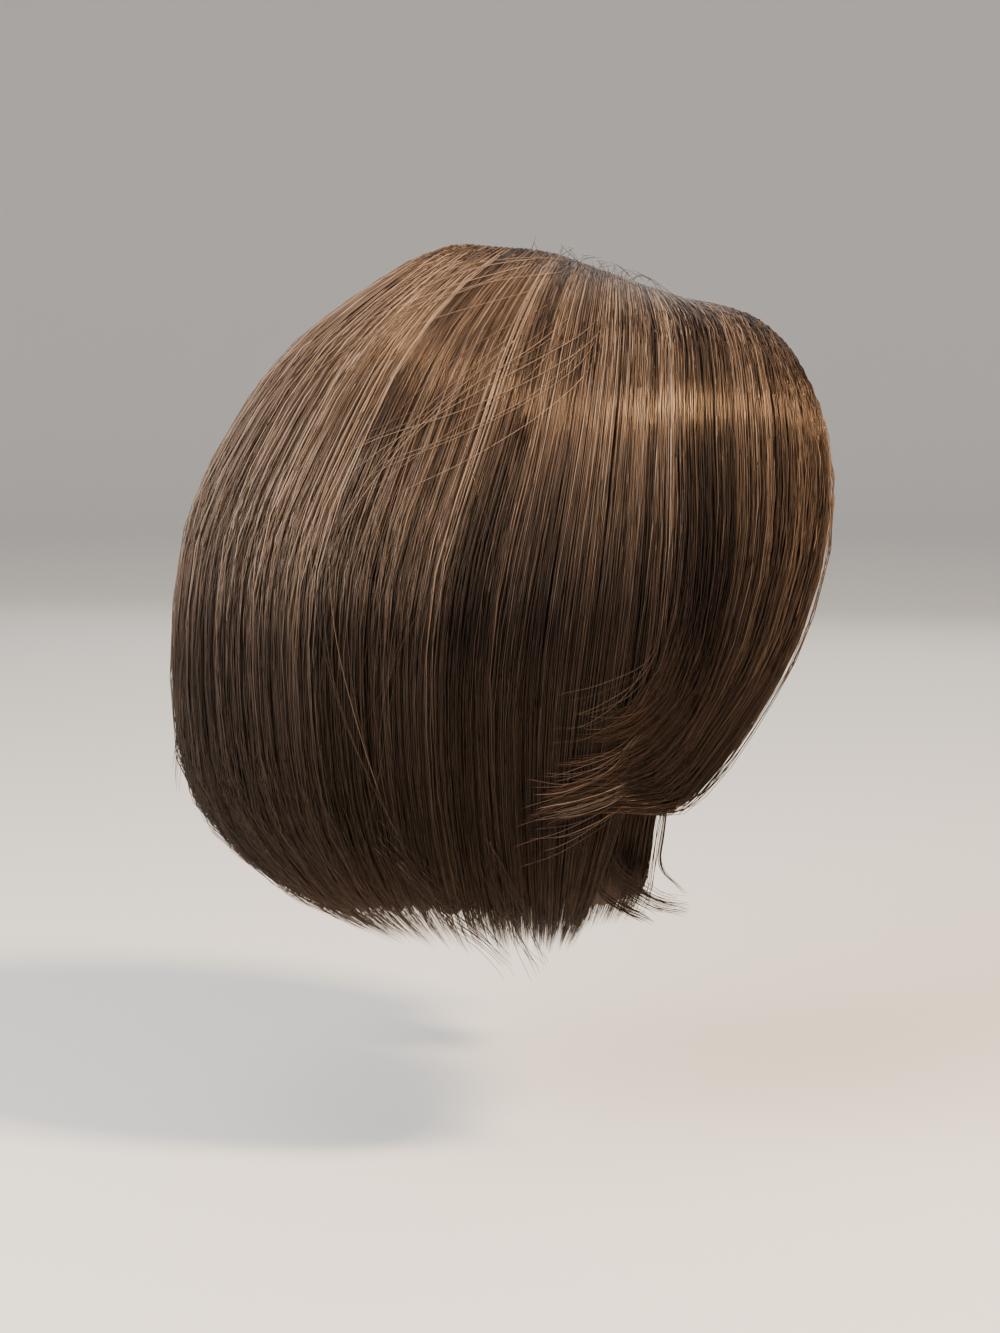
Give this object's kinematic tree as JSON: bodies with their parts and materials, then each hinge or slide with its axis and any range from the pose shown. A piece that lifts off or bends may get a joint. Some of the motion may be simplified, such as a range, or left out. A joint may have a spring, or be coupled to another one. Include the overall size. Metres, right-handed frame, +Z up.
{
  "type": "bob wig",
  "caption": "Short brown bob wig: layered hair with a side parting and swept fringe, sewn by its roots to an open stretch cap that fits over the head.",
  "frame": {"origin": "inside of the cap's crown, where the head carries the wig", "axes": "+Z up out of the crown, the face opening looks along -Y, the wearer's right is -X"},
  "size_m": [0.1974, 0.2256, 0.233],
  "materials": {
    "hair": "smooth silky fibre with a soft sheen across the strands, mid brown with lighter strands",
    "under_hair": "the same fibre, darker, in the shade of the top hair",
    "cap_fabric": "matt stretch net"
  },
  "bodies": {
    "root": {"cap": "cap_fabric", "right_fringe": "hair", "left_fringe": "hair", "right_side_hair": "hair", "left_side_hair": "hair", "back_hair": "hair", "right_under_hair": "under_hair", "left_under_hair": "under_hair", "back_under_hair": "under_hair", "nape_hair": "under_hair"}
  },
  "joints": []
}
